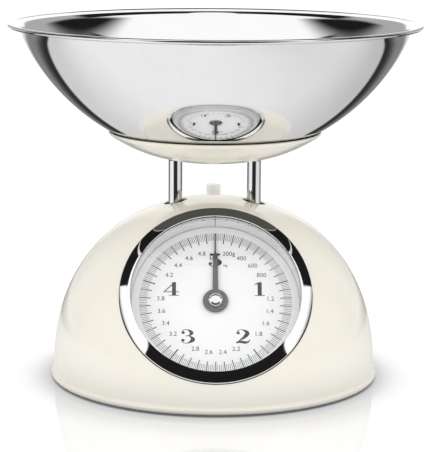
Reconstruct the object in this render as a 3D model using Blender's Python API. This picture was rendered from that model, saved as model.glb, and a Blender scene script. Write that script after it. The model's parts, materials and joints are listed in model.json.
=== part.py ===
"""A mechanical 5 kg kitchen scale: domed housing, tilted dial, spring movement and a lift-off bowl.

The frame has +Z up, the dial faces -Y, +X is to its right, and the origin is on the surface the
scale stands on, under the middle of the dome. Driving dimensions are in millimetres.
"""

import math

import bmesh
import bpy

MM = 0.001

# Load and travel
DIAL_TILT = 37.5          # how far the dial leans back from upright, degrees
GEAR_MODULE = 0.5
PINION_TEETH = 12
PINION_R = GEAR_MODULE * PINION_TEETH / 2
TOOTH_PITCH = math.pi * GEAR_MODULE
RACK_TRAVEL = 2 * math.pi * PINION_R          # one turn of the pointer, for 5 kg
TILT_SIN = math.sin(math.radians(DIAL_TILT))
TILT_COS = math.cos(math.radians(DIAL_TILT))
PLATFORM_TRAVEL = RACK_TRAVEL * TILT_COS

# Housing
DOME_R = 103.0
DOME_BASE_Z = 6.0
DOME_TOP_Z = 115.4
DOME_POWER_R = 2.103
DOME_POWER_Z = 2.207
SHELL_T = 1.0
LIP_R = 104.7
LIP_BOTTOM_Z = 1.5
LIP_TOP_Z = 5.0

# Base
BASE_Z = (3.0, 5.0)
BASE_R = 101.5
BASE_RIM_Z = 6.9
FOOT_RING_R = 84.0
FOOT_R = 8.0
SCREW_RING_R = 95.0

# Dial head, along the dial axis from the plane of the bezel's outer edge
DIAL_Y = -65.8
DIAL_Z = 66.0
BEZEL_R = 58.6
BEZEL_FRONT = 4.9
GLASS_R = 51.8
DIAL_FACE = -9.9
CUP_BACK = -13.2
PLATE_W = (-25.5, -24.0)
RACK_W = (-21.0, -18.0)

# Load posts, crosshead and tray
POST_X = 25.0
POST_R = 4.4
POST_HOLE_R = 7.35
CROSS_Z = (40.0, 46.0)
TRAY_R = 67.5
TRAY_BOTTOM_Z = 139.0
TRAY_RISE = 18.0
TRAY_T = 1.0
TRAY_RIM_Z = 158.2

# Bowl
BOWL_R = 130.0
BOWL_WALL_R = 122.3
BOWL_WALL_TOP_Z = 224.0
BOWL_DEPTH = 81.4
BOWL_T = 0.8
BOWL_FLOOR_Z = 147.0
BOWL_BEAD_R = 1.3

# Springs, zero adjustment and guide levers
SPRING_X = 12.0
SPRING_Z = (46.5, 89.5)
HANGER_Z = (90.0, 92.5)
BRIDGE_Z = (98.5, 100.0)
ZERO_Y = 45.0
LEVER_LENGTH = 50.0
LEVER_REST = math.asin(PLATFORM_TRAVEL / 2 / LEVER_LENGTH)
CARRIER_PIN_Y = 13.0
CARRIER_PIN_Z = {"upper": 73.0, "lower": 28.0}
PIVOT_Y = CARRIER_PIN_Y + LEVER_LENGTH * math.cos(LEVER_REST)
PIVOT_DROP = LEVER_LENGTH * math.sin(LEVER_REST)
UPRIGHT_Y = PIVOT_Y + 4.2

GAP = 0.3
SIDES = 40                # of the large turned pieces
HOLE_PHASE = 0.2          # turns each hole's corners off its neighbours' edges, radians


# ---------------------------------------------------------------- materials

MATERIALS = {
    "cream_enamel": ((0.87, 0.84, 0.75), 0.18, 0.0),
    "polished_steel": ((0.80, 0.80, 0.80), 0.06, 1.0),
    "chrome": ((0.78, 0.78, 0.78), 0.08, 1.0),
    "glass": ((0.95, 0.97, 0.97), 0.02, 0.0),
    "dial_white": ((0.92, 0.92, 0.92), 0.45, 0.0),
    "pointer_black": ((0.05, 0.05, 0.05), 0.4, 0.0),
    "white_plastic": ((0.88, 0.88, 0.86), 0.35, 0.0),
    "black_plastic": ((0.04, 0.04, 0.04), 0.5, 0.0),
    "rubber": ((0.06, 0.06, 0.06), 0.85, 0.0),
    "zinc_steel": ((0.55, 0.56, 0.58), 0.35, 1.0),
    "spring_steel": ((0.42, 0.42, 0.43), 0.3, 1.0),
    "brass": ((0.75, 0.56, 0.22), 0.3, 1.0),
    "aluminium": ((0.70, 0.71, 0.72), 0.4, 1.0),
}


def material(name):
    found = bpy.data.materials.get(name)
    if found:
        return found
    colour, roughness, metallic = MATERIALS[name]
    made = bpy.data.materials.new(name)
    made.use_nodes = True
    shader = made.node_tree.nodes["Principled BSDF"]
    shader.inputs["Base Color"].default_value = (*colour, 1.0)
    shader.inputs["Roughness"].default_value = roughness
    shader.inputs["Metallic"].default_value = metallic
    if name == "glass":
        shader.inputs["Transmission Weight"].default_value = 1.0
    made.diffuse_color = (*colour, 1.0)
    return made


# ---------------------------------------------------------------- modelling tools

def empty(name, place=(0, 0, 0), turn=(0, 0, 0)):
    """A named frame that pieces hang from; place in mm, turn in radians."""
    made = bpy.data.objects.new(name, None)
    made.location = [v * MM for v in place]
    made.rotation_euler = turn
    bpy.context.scene.collection.objects.link(made)
    return made


def from_bmesh(name, shape, colour, parent=None, place=(0, 0, 0), smooth=True):
    """Turns a bmesh in mm into an object at its place in its parent's frame, in mm."""
    for vertex in shape.verts:
        vertex.co *= MM
    mesh = bpy.data.meshes.new(name)
    shape.to_mesh(mesh)
    shape.free()
    mesh.materials.append(material(colour))
    if smooth:
        mesh.shade_smooth()
        mesh.set_sharp_from_angle(angle=math.radians(30))
    made = bpy.data.objects.new(name, mesh)
    made.location = [v * MM for v in place]
    made.parent = parent
    bpy.context.scene.collection.objects.link(made)
    return made


def counterclockwise(outline):
    """The outline, reversed where it runs clockwise, so that the faces point out."""
    pairs = zip(outline, outline[1:] + outline[:1])
    area = sum(a[0] * b[1] - b[0] * a[1] for a, b in pairs)
    return outline if area > 0 else outline[::-1]


def turned(name, outline, colour, parent=None, place=(0, 0, 0), sides=SIDES):
    """A solid turned about its Z axis from a closed outline of (radius, height) points."""
    outline = counterclockwise(outline)
    shape = bmesh.new()
    rings = []
    for radius, height in outline:
        if radius < 1e-6:
            rings.append([shape.verts.new((0, 0, height))] * sides)
            continue
        angles = [2 * math.pi * i / sides for i in range(sides)]
        rings.append(
            [shape.verts.new((radius * math.cos(a), radius * math.sin(a), height)) for a in angles]
        )
    for low, high in zip(rings, rings[1:] + rings[:1]):
        for i in range(sides):
            j = (i + 1) % sides
            corners = [low[i], low[j], high[j], high[i]]
            unique = [v for k, v in enumerate(corners) if v not in corners[:k]]
            if len(unique) > 2:
                shape.faces.new(unique)
    return from_bmesh(name, shape, colour, parent, place)


def prism(name, outline, low, high, colour, parent=None, place=(0, 0, 0), axis="Z", smooth=False):
    """An extruded outline. axis Z: outline is (x, y). axis X: outline is (y, z)."""
    outline = counterclockwise(outline)

    def point(a, b, height):
        return (a, b, height) if axis == "Z" else (height, a, b)

    shape = bmesh.new()
    bottom = [shape.verts.new(point(a, b, low)) for a, b in outline]
    top = [shape.verts.new(point(a, b, high)) for a, b in outline]
    shape.faces.new(bottom[::-1])
    shape.faces.new(top)
    for i in range(len(outline)):
        j = (i + 1) % len(outline)
        shape.faces.new([bottom[i], bottom[j], top[j], top[i]])
    return from_bmesh(name, shape, colour, parent, place, smooth)


def block(name, x, y, z, colour, parent=None, place=(0, 0, 0)):
    """A box between the limits x, y and z."""
    corners = [(x[0], y[0]), (x[1], y[0]), (x[1], y[1]), (x[0], y[1])]
    return prism(name, corners, z[0], z[1], colour, parent, place)


def circle(radius, sides=24):
    """Points of a circle, for a prism's outline."""
    angles = [HOLE_PHASE + 2 * math.pi * i / sides for i in range(sides)]
    return [(radius * math.cos(a), radius * math.sin(a)) for a in angles]


def boolean(target, tools, operation):
    """Adds a Boolean with each tool, which becomes a hidden helper."""
    for tool in tools:
        tool.hide_render = True
        tool.display_type = "WIRE"
        modifier = target.modifiers.new(tool.name, "BOOLEAN")
        modifier.operation = operation
        modifier.object = tool
        modifier.solver = "EXACT"
    return target


def cut(target, *tools):
    return boolean(target, tools, "DIFFERENCE")


def join(target, *tools):
    return boolean(target, tools, "UNION")


def hole(name, radius, low, high, parent=None, place=(0, 0, 0), axis="Z", sides=12):
    """A round cutter, longer than the wall it goes through."""
    return prism(name, circle(radius, sides=sides), low, high, "zinc_steel", parent, place, axis)


def ring_places(count, radius, start=0.0):
    """Places evenly spaced on a circle about Z."""
    angles = [math.radians(start) + 2 * math.pi * i / count for i in range(count)]
    return [(radius * math.cos(a), radius * math.sin(a)) for a in angles]


# ---------------------------------------------------------------- curves of the object

def dome_outline(radius, height, rows):
    """The housing's profile from its foot to its top, as (radius, z) points."""
    points = []
    for i in range(rows + 1):
        angle = math.pi / 2 * i / rows
        r = radius * (math.cos(angle) ** 2) ** (1 / DOME_POWER_R)
        s = (math.sin(angle) ** 2) ** (1 / DOME_POWER_Z)
        points.append((r if i < rows else 0.0, DOME_BASE_Z + height * s))
    return points


def bowl_radius(z):
    """The outer radius of the bowl's wall at this height."""
    s = (BOWL_WALL_TOP_Z - z) / BOWL_DEPTH
    return BOWL_WALL_R * (1 - s ** 1.33) ** (1 / 2.227)


def bowl_wall(inset, rows):
    """The bowl's wall from the lip down to the middle of its flat floor, inset from its outer face."""
    top, floor = BOWL_WALL_TOP_Z - 1.2, BOWL_FLOOR_Z + inset
    points = []
    for i in range(rows + 1):
        z = top + (floor - top) * math.sin(math.pi / 2 * i / rows)
        slope = (bowl_radius(z + 0.1) - bowl_radius(z - 0.1)) / 0.2
        points.append((bowl_radius(z) - inset * math.hypot(1, slope), z))
    return points + [(0.0, floor)]


def tray_underside(radius):
    return TRAY_BOTTOM_Z + TRAY_RISE * (radius / TRAY_R) ** 2.6


# ---------------------------------------------------------------- housing and base

def housing_shell(dial):
    dome_h = DOME_TOP_Z - DOME_BASE_Z
    lip = [
        (DOME_R - SHELL_T, LIP_BOTTOM_Z + 1.0),
        (DOME_R - SHELL_T + 0.6, LIP_BOTTOM_Z),
        (LIP_R - 0.7, LIP_BOTTOM_Z),
        (LIP_R, LIP_BOTTOM_Z + 0.7),
        (LIP_R, LIP_TOP_Z - 0.6),
        (LIP_R - 0.5, LIP_TOP_Z),
        (DOME_R + 0.3, LIP_TOP_Z + 0.5),
    ]
    outer = dome_outline(DOME_R, dome_h, 11)
    inner = dome_outline(DOME_R - SHELL_T, dome_h - SHELL_T, 8)
    shell = turned("housing_shell", lip + outer + inner[::-1], "cream_enamel")
    for i, (x, y) in enumerate(ring_places(4, SCREW_RING_R)):
        turn = math.atan2(y, x)
        tab = block(f"shell_tab_{i}", (-4, 7.4), (-5, 5), (7.3, 9.3), "cream_enamel", None, (x, y, 0))
        tab.rotation_euler = (0, 0, turn)
        join(shell, tab)
        cut(shell, hole(f"tab_hole_{i}", 1.8, 6, 11, None, (x, y, 0)))
    cut(
        shell,
        hole("dial_opening", BEZEL_R + 0.35, -20, 30, dial, sides=SIDES),
        hole("post_hole_left", POST_HOLE_R, 100, 125, None, (-POST_X, 0, 0), sides=24),
        hole("post_hole_right", POST_HOLE_R, 100, 125, None, (POST_X, 0, 0), sides=24),
        hole("zero_hole", 2.9, 95, 125, None, (0, ZERO_Y, 0)),
    )


def base_plate():
    low, high = BASE_Z
    outline = [
        (0, low), (BASE_R - 0.8, low), (BASE_R, low + 0.8), (BASE_R, BASE_RIM_Z),
        (BASE_R - 1.5, BASE_RIM_Z), (BASE_R - 1.5, high), (0, high),
    ]
    plate = turned("base_plate", outline, "black_plastic")
    for i, (x, y) in enumerate(ring_places(4, FOOT_RING_R, 45)):
        cut(plate, hole(f"foot_hole_{i}", 2.8, 1, 8, None, (x, y, 0)))
        peg = [
            (0, 0), (FOOT_R - 0.6, 0), (FOOT_R, 0.6), (FOOT_R - 0.4, low - GAP),
            (2.4, low - GAP), (2.4, high + 0.4), (3.2, high + 0.4), (0, high + 2.4),
        ]
        turned(f"foot_{i + 1}", peg, "rubber", None, (x, y, 0), sides=12)
    for i, (x, y) in enumerate(ring_places(4, SCREW_RING_R)):
        cut(plate, hole(f"base_screw_hole_{i}", 1.8, 1, 8, None, (x, y, 0)))
        screw(f"base_screw_{i + 1}", low - GAP, 11.5, None, (x, y, 0), down=True)
    for i, (x, y) in enumerate(chassis_screw_places()):
        cut(plate, hole(f"chassis_screw_hole_{i}", 1.8, 1, 8, None, (x, y, 0)))
        screw(f"chassis_screw_{i + 1}", low - GAP, 9.5, None, (x, y, 0), down=True)


def screw(name, seat, tip, parent, place, down=False, shank=1.5, head=2.9):
    """A pan-head screw along Z with its head's seat and its tip at these heights."""
    side = -1 if down else 1
    outline = [
        (0, seat + side * 1.3), (head - 0.7, seat + side * 1.3), (head, seat), (shank, seat),
        (shank, tip), (0, tip),
    ]
    return turned(name, outline, "zinc_steel", parent, place, sides=8)


def chassis_screw_places():
    return [(x, y) for x in (-32, 32) for y in (-18, 50)]


def chassis():
    """The bent steel frame: floor, two cheeks, top bridge and the levers' rear bracket."""
    floor_z = (BASE_Z[1] + GAP, BASE_Z[1] + GAP + 1.5)
    frame = block("chassis", (-39.5, 39.5), (-30, UPRIGHT_Y + 1.5), floor_z, "zinc_steel")
    cheek = [
        (-30, floor_z[0] + 0.2), (UPRIGHT_Y, floor_z[0] + 0.2), (62, 78), (34, 100), (-12, 100),
        (-22, 92), (-47, 57), (-47, 41),
    ]
    for side in (-1, 1):
        low, high = sorted((side * 38.0, side * 39.5))
        join(frame, prism(f"cheek_{side}", cheek, low, high, "zinc_steel", axis="X"))
        window = [(-18, 16), (48, 16), (48, 74), (-8, 74), (-26, 50)]
        cut(frame, prism(f"cheek_window_{side}", window, low - 2, high + 2, "zinc_steel", axis="X"))
    join(
        frame,
        block("bridge", (-38.7, 38.7), (-9, 9), BRIDGE_Z, "zinc_steel"),
        block("bridge_tongue", (-7, 7), (8, 50.5), BRIDGE_Z, "zinc_steel"),
        block("lever_upright", (-9, 9), (UPRIGHT_Y, UPRIGHT_Y + 1.5), (floor_z[0] + 0.2, 72), "zinc_steel"),
    )
    for level, z in CARRIER_PIN_Z.items():
        pivot_z = z - PIVOT_DROP
        for side in (-1, 1):
            x = sorted((side * 5.5, side * 7.0))
            y, z_range = (PIVOT_Y - 4, UPRIGHT_Y + 0.5), (pivot_z - 5, pivot_z + 5)
            join(frame, block(f"ear_{level}_{side}", x, y, z_range, "zinc_steel"))
        cut(frame, hole(f"ear_hole_{level}", 1.75, -12, 12, None, (0, PIVOT_Y, pivot_z), "X"))
    cut(
        frame,
        hole("bridge_post_left", POST_R + 0.8, 95, 104, None, (-POST_X, 0, 0)),
        hole("bridge_post_right", POST_R + 0.8, 95, 104, None, (POST_X, 0, 0)),
        hole("bridge_zero", 2.4, 95, 104, None, (0, ZERO_Y, 0)),
        *[
            hole(f"floor_hole_{i}", 1.8, 3, 9, None, (x, y, 0))
            for i, (x, y) in enumerate(chassis_screw_places())
        ],
    )
    return frame


# ---------------------------------------------------------------- dial head

def dial_cup(dial):
    """The drum that holds the dial, with three pillars for the movement plate."""
    outline = [
        (GLASS_R, 1.6), (54.7, 1.6), (54.7, 0.3), (57.1, 0.3), (57.1, -6.5), (54.0, -8.0),
        (54.0, CUP_BACK), (3.6, CUP_BACK), (3.6, CUP_BACK + 1.2), (49.5, CUP_BACK + 1.2),
        (49.5, DIAL_FACE - 1.1), (GLASS_R, DIAL_FACE - 1.1),
    ]
    cup = turned("dial_cup", outline, "white_plastic", dial)
    low = PLATE_W[1] + GAP
    for i, place in enumerate(pillar_places()):
        join(cup, hole(f"pillar_{i}", 3.2, low, CUP_BACK + 0.6, dial, (*place, 0), sides=16))
        cut(cup, hole(f"pillar_bore_{i}", 1.7, low - 2, low + 6.5, dial, (*place, 0)))
        screw(f"plate_screw_{i + 1}", PLATE_W[0] - GAP, low + 5, dial, (*place, 0), down=True)


def pillar_places():
    return [(-32.0, 0.0), (32.0, 0.0), (0.0, -34.0)]


def dial_and_lens(dial):
    plate_r, back = GLASS_R - GAP, DIAL_FACE - 0.8
    face = [(2.6, DIAL_FACE), (plate_r, DIAL_FACE), (plate_r, back), (2.6, back)]
    turned("dial_plate", face, "dial_white", dial)
    gasket = [(52.0, 1.9), (53.7, 1.9), (53.7, 2.5), (52.0, 2.5)]
    turned("lens_gasket", gasket, "rubber", dial, sides=32)
    lens = [(0, 2.8), (53.9, 2.8), (53.9, 3.6), (0, 3.6)]
    turned("lens", lens, "glass", dial)


def bezel(dial):
    """The wide dial ring: a swelling band outside, a seat for the lens and a skirt into the cup."""
    band = []
    crown_r, fullness, steps = 52.6, 1.25, 5
    for i in range(steps + 1):
        angle = math.pi / 2 * i / steps
        radius = crown_r + (BEZEL_R - crown_r) * max(math.cos(angle), 0.0) ** fullness
        band.append((radius, BEZEL_FRONT * math.sin(angle) ** fullness))
    outline = [(BEZEL_R, -6.5)] + band + [
        (GLASS_R, BEZEL_FRONT - 0.2), (GLASS_R, 3.9), (54.2, 3.9), (54.2, 2.2), (55.0, 2.2), (55.0, 0.6),
        (57.4, 0.6), (57.4, -6.5),
    ]
    turned("bezel", outline, "chrome", dial)


def pointer_group(dial):
    """The pointer on its shaft, pointing to the dial's top, with the pinion behind the cup."""
    pointer = turned(
        "pointer",
        [(4.9, -9.1), (7.0, -9.1), (7.8, -8.4), (7.8, -7.9), (7.0, -7.4), (4.9, -7.4)],
        "pointer_black", dial, sides=16,
    )
    right_edge = [(1.75, 6.0), (1.45, 31.0), (0.45, 33.5), (0.4, 46.0)]
    blade = right_edge + [(-x, y) for x, y in right_edge[::-1]]
    web = [(-2.0, -6.2), (2.0, -6.2), (2.0, 6.2), (-2.0, 6.2)]
    join(
        pointer,
        prism("pointer_blade", blade, -8.9, -8.1, "pointer_black", dial),
        prism("pointer_web", web, -9.0, -8.0, "pointer_black", dial),
    )
    cut(pointer, hole("pointer_bore", 1.6, -10, -6, dial))
    cap = [(0, -5.4), (2.6, -5.7), (4.3, -6.8), (4.5, -7.5), (4.5, -7.7), (0, -7.7)]
    turned("pointer_cap", cap, "chrome", dial, sides=16)
    shaft = [(0, -8.0), (1.25, -8.0), (1.25, PLATE_W[0] - 1.8), (0, PLATE_W[0] - 1.8)]
    turned("pointer_shaft", shaft, "zinc_steel", dial, sides=12)
    front = [
        (1.5, -11.2), (2.4, -11.2), (2.4, -11.9), (3.3, -11.9), (3.3, -13.4), (4.6, -13.4), (4.6, -14.4),
        (1.5, -14.4),
    ]
    turned("front_bush", front, "brass", dial, sides=12)
    low, high = PLATE_W
    rear = [
        (1.5, low - 1.2), (3.1, low - 1.2), (3.1, high + 0.3), (4.2, high + 0.3), (4.2, high + 1.0),
        (1.5, high + 1.0),
    ]
    turned("rear_bush", rear, "brass", dial, sides=12)
    pinion = prism("pinion", pinion_outline(), RACK_W[0] - 0.5, RACK_W[1] + 0.5, "brass", dial)
    cut(pinion, hole("pinion_bore", 1.5, RACK_W[0] - 3, RACK_W[1] + 3, dial, sides=16))


def pinion_outline():
    """Slim round-ended teeth with backlash; a gap faces +X, where a rack tooth sits at rest."""
    half_root, half_pitch, half_tip = 0.36, 0.28, 0.1
    root_r, tip_r = PINION_R - 0.62, PINION_R + 0.42
    points = []
    for i in range(PINION_TEETH):
        middle = 2 * math.pi * (i + 0.5) / PINION_TEETH
        for radius, half in (
            (root_r, -half_root), (PINION_R, -half_pitch), (tip_r, -half_tip),
            (tip_r, half_tip), (PINION_R, half_pitch), (root_r, half_root),
        ):
            angle = middle + half / radius
            points.append((radius * math.cos(angle), radius * math.sin(angle)))
    return points


def rack(dial):
    """The toothed bar beside the pinion, with a level slotted arm that the carrier's pin drives."""
    back_x, root_x, tip_x = PINION_R + 4.6, PINION_R + 0.65, PINION_R - 0.4
    low, high = -6.0, 35.0
    teeth = []
    first = round(low / TOOTH_PITCH) + 1
    last = first + math.ceil((RACK_TRAVEL + 8.0) / TOOTH_PITCH)
    for i in range(first, last):
        middle = i * TOOTH_PITCH
        for x, half in ((root_x, -0.5), (tip_x, -0.14), (tip_x, 0.14), (root_x, 0.5)):
            teeth.append((x, middle + half))
    outline = [(back_x, high), (back_x, low), (root_x, low)] + teeth + [(root_x, high)]
    bar = prism("rack", outline, RACK_W[0], RACK_W[1], "brass", dial)
    pin_y, pin_z = rack_pin_place()
    shift = RACK_TRAVEL * TILT_SIN
    arm = [
        (pin_y - 3.2, pin_z - 2.9), (pin_y + shift + 3.4, pin_z - 2.9),
        (pin_y + shift + 3.4, pin_z + 2.9), (pin_y - 3.2, pin_z + 2.9),
    ]
    slot = [
        (pin_y - 1.5, pin_z - 1.35), (pin_y + shift + 1.5, pin_z - 1.35),
        (pin_y + shift + 1.5, pin_z + 1.35), (pin_y - 1.5, pin_z + 1.35),
    ]
    join(bar, prism("rack_arm", arm, 5.2, 7.2, "brass", axis="X"))
    cut(bar, prism("rack_slot", slot, 0, 12, "brass", axis="X"))


def rack_pin_place():
    """Where the carrier's drive pin crosses the rack at rest, as (y, z)."""
    along, up = sum(RACK_W) / 2, 32.0
    return DIAL_Y - along * TILT_COS + up * TILT_SIN, DIAL_Z + along * TILT_SIN + up * TILT_COS


def movement_plate(dial):
    """The plate behind the cup: rear bearing, rack guide and two side tabs screwed to the cheeks."""
    low, high = PLATE_W
    outline = [(-37.7, -9), (-8, -9), (-6, -39), (6, -39), (8, -9), (37.7, -9), (37.7, 9), (-37.7, 9)]
    plate = prism("movement_plate", outline, low, high, "zinc_steel", dial)
    for side in (-1, 1):
        x = sorted((side * 36.2, side * 37.7))
        join(plate, block(f"plate_tab_{side}", x, (-7, 7), (low - 10, low + 0.5), "zinc_steel", dial))
        cut(plate, hole(f"tab_screw_hole_{side}", 1.8, -6, 6, dial, (side * 38.0, 0, low - 5), "X"))
    guide_x = (PINION_R + 4.9, PINION_R + 6.4)
    join(plate, block("rack_guide", guide_x, (-8, 8), (low + 0.5, RACK_W[1]), "zinc_steel", dial))
    cut(plate, hole("rear_bearing", 3.4, low - 3, high + 3, dial))
    for i, place in enumerate(pillar_places()):
        cut(plate, hole(f"plate_hole_{i}", 1.8, low - 3, high + 3, dial, (*place, 0)))


def cheek_screws(frame):
    """The two screws that hold the movement plate's tabs to the chassis cheeks."""
    along = PLATE_W[0] - 5
    y, z = DIAL_Y - along * TILT_COS, DIAL_Z + along * TILT_SIN
    for name, side in (("left", -1), ("right", 1)):
        cut(frame, hole(f"cheek_hole_{name}", 1.8, side * 38.7 - 3, side * 38.7 + 3, None, (0, y, z), "X"))
        piece = screw(f"cheek_screw_{name}", 39.8, 34.5, None, (0, y, z))
        piece.rotation_euler = (0, side * math.pi / 2, 0)


# ---------------------------------------------------------------- platform

def posts(platform):
    for name, side in (("left", -1), ("right", 1)):
        place = (side * POST_X, 0, 0)
        top = tray_underside(POST_X - POST_R) - GAP
        stud, foot = 2.9, CROSS_Z[1] + GAP
        outline = [
            (0, CROSS_Z[0] - 7), (stud, CROSS_Z[0] - 7), (stud, foot), (POST_R, foot),
            (POST_R, top - 0.5), (POST_R - 0.5, top), (1.9, top), (1.9, top - 9), (0, top - 9),
        ]
        turned(f"post_{name}", outline, "chrome", platform, place, sides=16)
        nut = prism(
            f"post_nut_{name}", circle(5.8, sides=6), CROSS_Z[0] - 4.8, CROSS_Z[0] - GAP,
            "zinc_steel", platform, place,
        )
        cut(nut, hole(f"nut_bore_{name}", stud + 0.2, 20, 60, platform, place))
        bush = [(4.75, 100.3), (8.5, 100.3), (8.5, 102.0), (6.9, 102.0), (6.9, 110.4), (4.75, 110.4)]
        turned(f"post_bush_{name}", bush, "black_plastic", None, place, sides=16)
        seat = tray_underside(POST_X + POST_R) + TRAY_T + GAP
        low_head = [
            (0, seat + 0.9), (3.3, seat + 0.7), (3.6, seat), (1.5, seat), (1.5, top - 6), (0, top - 6.8),
        ]
        turned(f"tray_screw_{name}", low_head, "zinc_steel", platform, place, sides=12)


def crosshead(platform):
    low, high = CROSS_Z
    bar = block("crosshead", (-33, 33), (-6, 6), CROSS_Z, "aluminium", platform)
    for side in (-1, 1):
        cut(
            bar,
            hole(f"cross_post_{side}", 3.2, low - 3, high + 3, platform, (side * POST_X, 0, 0)),
            hole(f"cross_spring_{side}", 1.6, low - 3, high + 3, platform, (side * SPRING_X, 0, 0)),
        )


def carrier(platform):
    """The stem behind the crosshead that the levers guide, and the arm that drives the rack."""
    pin_y, pin_z = rack_pin_place()
    top = pin_z + 2.6
    face_y = 6.0 + GAP
    steel = "zinc_steel"
    stem = block("carrier", (-7, 7), (face_y, face_y + 1.8), (24, top), steel, platform)
    arm = block("carrier_arm", (-0.8, 0.8), (pin_y - 2.4, face_y + 1), (pin_z - 2.6, top), steel, platform)
    join(stem, arm)
    join(stem, hole("drive_pin", 1.15, -0.5, 8.4, platform, (0, pin_y, pin_z), "X"))
    for level, z in CARRIER_PIN_Z.items():
        for side in (-1, 1):
            x, y = sorted((side * 5.4, side * 6.9)), (face_y + 1, CARRIER_PIN_Y + 3.5)
            join(stem, block(f"carrier_ear_{level}_{side}", x, y, (z - 4, z + 4), steel, platform))
        place = (0, CARRIER_PIN_Y, z)
        cut(stem, hole(f"carrier_ear_hole_{level}", 1.75, -12, 12, platform, place, "X"))
        prism(f"carrier_pin_{level}", circle(1.5, sides=12), -8, 8, "zinc_steel", platform, place, "X")


def tray(platform):
    rows = 5
    under = [(0.0, TRAY_BOTTOM_Z)]
    for i in range(1, rows + 1):
        radius = (TRAY_R - 0.8) * i / rows
        under.append((radius, tray_underside(radius)))
    rim = [
        (TRAY_R, TRAY_BOTTOM_Z + TRAY_RISE + 0.4), (TRAY_R, TRAY_RIM_Z - 0.5), (TRAY_R - 0.6, TRAY_RIM_Z),
        (TRAY_R - 1.4, TRAY_RIM_Z - 0.6),
    ]
    over = [(r, z + TRAY_T) for r, z in under[::-1]]
    over[0] = (TRAY_R - 1.4, over[0][1])
    dish = turned("tray", under + rim + over, "cream_enamel", platform, sides=32)
    for side in (-1, 1):
        place = (side * POST_X, 0, 0)
        cut(dish, hole(f"tray_hole_{side}", 1.9, 130, 150, platform, place))


def bowl(platform):
    outer = bowl_wall(0.0, 8)
    inner = bowl_wall(BOWL_T, 8)
    bead_z = 225.3
    bead_r = BOWL_R - BOWL_BEAD_R
    bead = []
    for i in range(7):
        angle = math.radians(-120 + 40 * i)
        bead.append((bead_r + BOWL_BEAD_R * math.cos(angle), bead_z + BOWL_BEAD_R * math.sin(angle)))
    under_lip = [(123.6, 223.8)]
    over_lip = [(123.4, 224.8), (121.9, 224.0)]
    outline = inner[::-1] + over_lip[::-1] + bead[::-1] + under_lip[::-1] + outer
    return turned("bowl", outline, "polished_steel", platform)


# ---------------------------------------------------------------- springs, zero adjustment, levers

def springs(platform):
    for name, side in (("left", -1), ("right", 1)):
        low, high = SPRING_Z
        wall = [(4.2, low), (5.6, low), (5.6, high), (4.2, high)]
        turned(f"main_spring_{name}", wall, "spring_steel", platform, (side * SPRING_X, 0, 0), sides=16)


def zero_adjustment():
    low, high = HANGER_Z
    hanger = block("spring_hanger", (-37.4, 37.4), (-7.5, 7.5), HANGER_Z, "zinc_steel")
    join(hanger, block("hanger_tongue", (-5, 5), (7, 50), HANGER_Z, "zinc_steel"))
    cut(hanger, hole("hanger_thread", 2.25, low - 3, high + 3, None, (0, ZERO_Y, 0)))
    for side in (-1, 1):
        cut(
            hanger,
            hole(f"hanger_post_{side}", POST_R + 1.0, low - 3, high + 3, None, (side * POST_X, 0, 0)),
            hole(f"hanger_eye_{side}", 1.6, low - 3, high + 3, None, (side * SPRING_X, 0, 0)),
        )
    bottom, top = BRIDGE_Z
    knob_z = 108.8
    zero = empty("zero_axis", (0, ZERO_Y, 0))
    shaft = [
        (0, low - 4), (1.6, low - 4), (2.0, low - 3.4), (2.0, bottom - 1.8), (3.6, bottom - 1.8),
        (3.6, bottom - GAP), (2.0, bottom - GAP), (2.0, top + GAP), (3.6, top + GAP),
        (3.6, top + 1.8), (2.0, top + 1.8), (2.0, knob_z + 4.6), (0, knob_z + 4.6),
    ]
    turned("zero_screw", shaft, "zinc_steel", zero, sides=12)
    knob = [
        (2.2, knob_z), (4.3, knob_z), (4.7, knob_z + 0.5), (4.7, knob_z + 6.6), (4.0, knob_z + 7.5),
        (0, knob_z + 7.5), (0, knob_z + 5.0), (2.2, knob_z + 5.0),
    ]
    turned("zero_knob", knob, "white_plastic", zero, sides=16)


def levers():
    """Two equal levers side by side in height, so that the platform stays level."""
    for level, z in CARRIER_PIN_Z.items():
        pivot = empty(f"{level}_lever_pivot", (0, PIVOT_Y, z - PIVOT_DROP), (-LEVER_REST, 0, 0))
        reach = LEVER_LENGTH - 0.28
        strip = [(-reach, -1.0), (0, -1.0), (0, 1.0), (-reach, 1.0)]
        lever = prism(f"{level}_lever", strip, -4.0, 4.0, "zinc_steel", pivot, axis="X")
        join(
            lever,
            hole(f"{level}_eye_rear", 3.4, -5, 5, pivot, (0, 0, 0), "X"),
            hole(f"{level}_eye_front", 3.6, -5, 5, pivot, (0, -reach, 0), "X"),
        )
        cut(
            lever,
            hole(f"{level}_bore_rear", 1.7, -9, 9, pivot, (0, 0, 0), "X"),
            hole(f"{level}_bore_front", 2.15, -9, 9, pivot, (0, -reach, 0), "X"),
        )
        prism(f"{level}_lever_pin", circle(1.5, sides=12), -8, 8, "zinc_steel", pivot, axis="X")


def main():
    for old in list(bpy.data.objects):
        bpy.data.objects.remove(old)
    dial = empty("dial_axis", (0, DIAL_Y, DIAL_Z), (math.radians(90 - DIAL_TILT), 0, 0))
    platform = empty("platform_axis")
    housing_shell(dial)
    base_plate()
    frame = chassis()
    dial_cup(dial)
    dial_and_lens(dial)
    bezel(dial)
    pointer_group(dial)
    rack(dial)
    movement_plate(dial)
    cheek_screws(frame)
    posts(platform)
    crosshead(platform)
    carrier(platform)
    tray(platform)
    bowl(platform)
    springs(platform)
    zero_adjustment()
    levers()


main()
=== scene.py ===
"""Looks of the mechanical kitchen scale: enamelled dome, chrome dial ring, printed dial, polished bowl.

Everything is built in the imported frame: +Z up, the dial faces -Y, the origin on the surface it stands on.
Outlines and places are in millimetres and come from the CAD nodes, through extent() and round_size().
"""

import json
import math

import bmesh
import bpy
import numpy as np
from mathutils import Matrix, Vector

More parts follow.
